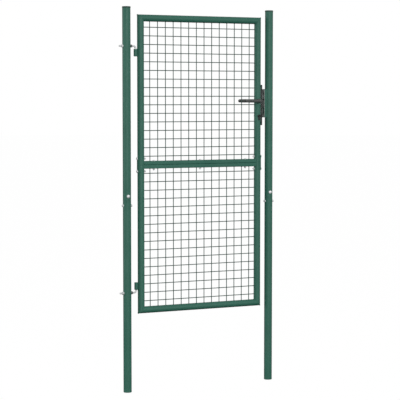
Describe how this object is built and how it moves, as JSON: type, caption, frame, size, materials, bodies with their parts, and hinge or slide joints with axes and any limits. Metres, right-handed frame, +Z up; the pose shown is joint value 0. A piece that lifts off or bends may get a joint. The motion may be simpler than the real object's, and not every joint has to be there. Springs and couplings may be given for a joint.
{
  "type": "garden gate",
  "caption": "Single-leaf welded mesh garden gate: round tube frame hung on hooked pins between two round posts, with a mortise lock and lever handles.",
  "frame": {"origin": "middle of the whole part's footprint, level with the buried lower ends of the posts", "axes": "+X runs from the hinge post to the latch post, +Y from the front to the back, +Z up"},
  "size_m": [1.009, 0.114, 2.25],
  "materials": {
    "green": "polyester powder coat, moss green, satin",
    "cap": "moulded polypropylene, dark green",
    "zinc": "zinc plated steel",
    "dark": "anthracite anodised and painted, satin",
    "darkzinc": "zinc plated steel, weathered dark",
    "steel": "bare and galvanised steel, inside the tubes and lock"
  },
  "bodies": {
    "posts": {"hinge_post_lower": "green", "hinge_post_upper": "green", "hinge_post_sleeve": "steel", "hinge_post_cap": "cap", "hinge_post_carriage_bolt": "zinc", "hinge_post_cross_bolt": "zinc", "latch_post_lower": "green", "latch_post_upper": "green", "latch_post_sleeve": "steel", "latch_post_cap": "cap", "latch_post_carriage_bolt": "zinc", "latch_post_cross_bolt": "zinc", "bottom_hinge_hook": "zinc", "bottom_hinge_outer_nut": "zinc", "bottom_hinge_inner_nut": "darkzinc", "top_hinge_hook": "zinc", "top_hinge_outer_nut": "zinc", "top_hinge_inner_nut": "darkzinc", "strike_box": "green", "strike_plate": "dark", "strike_bottom_screw": "zinc", "strike_top_screw": "zinc"},
    "leaf": {"bottom_hinge_barrel": "green", "bottom_rail": "green", "top_hinge_barrel": "green", "top_rail": "green", "hinge_stile_lower": "green", "hinge_stile_upper": "green", "hinge_stile_sleeve": "steel", "hinge_stile_collar": "green", "hinge_stile_lower_bolt": "zinc", "hinge_stile_upper_bolt": "zinc", "latch_stile_lower": "green", "latch_stile_upper": "green", "latch_stile_sleeve": "steel", "latch_stile_collar": "green", "latch_stile_lower_bolt": "zinc", "latch_stile_upper_bolt": "zinc", "lower_mid_rail": "green", "upper_mid_rail": "green", "mid_rail_left_bolt": "zinc", "mid_rail_middle_bolt": "zinc", "mid_rail_right_bolt": "zinc", "lower_mesh": "green", "upper_mesh": "green", "lock_case": "steel", "lock_forend": "dark", "forend_bottom_screw": "zinc", "forend_top_screw": "zinc", "lock_cylinder": "dark", "front_rose": "dark", "rear_rose": "dark"},
    "levers": {"lever_hub": "steel", "lever_spindle": "steel", "front_lever": "dark", "rear_lever": "dark"},
    "latch": {"latch_bolt": "steel"},
    "front_plug": {"front_key_plug": "dark"},
    "rear_plug": {"rear_key_plug": "dark"},
    "deadbolt": {"dead_bolt": "steel"}
  },
  "joints": [
    {"name": "leaf_swing", "type": "hinge", "parent": "posts", "child": "leaf", "pos_m": [-0.4008, 0, 1.3], "axis": [0, 0, 1], "range_deg": [-110, 110]},
    {"name": "lever_turn", "type": "hinge", "parent": "leaf", "child": "levers", "pos_m": [0.3945, 0, 1.7055], "axis": [0, -1, 0], "range_deg": [0, 40], "stiffness_Nm_per_rad": 1.2, "springref_deg": -20.05},
    {"name": "latch_slide", "type": "slide", "parent": "leaf", "child": "latch", "axis": [-1, 0, 0], "range_m": [0, 0.024]},
    {"name": "key_turn", "type": "hinge", "parent": "leaf", "child": "front_plug", "pos_m": [0.3945, 0, 1.6145], "axis": [0, 1, 0], "range_deg": [0, 360]},
    {"name": "rear_key_turn", "type": "hinge", "parent": "leaf", "child": "rear_plug", "pos_m": [0.3945, 0, 1.6145], "axis": [0, -1, 0], "range_deg": [0, 360]},
    {"name": "dead_bolt_slide", "type": "slide", "parent": "leaf", "child": "deadbolt", "axis": [1, 0, 0], "range_m": [0, 0.025]}
  ],
  "couplings": [
    {"joint": "latch_slide", "follows": "lever_turn", "m_per_rad": 0.03437},
    {"joint": "key_turn", "follows": "dead_bolt_slide", "rad_per_m": 251.3}
  ]
}
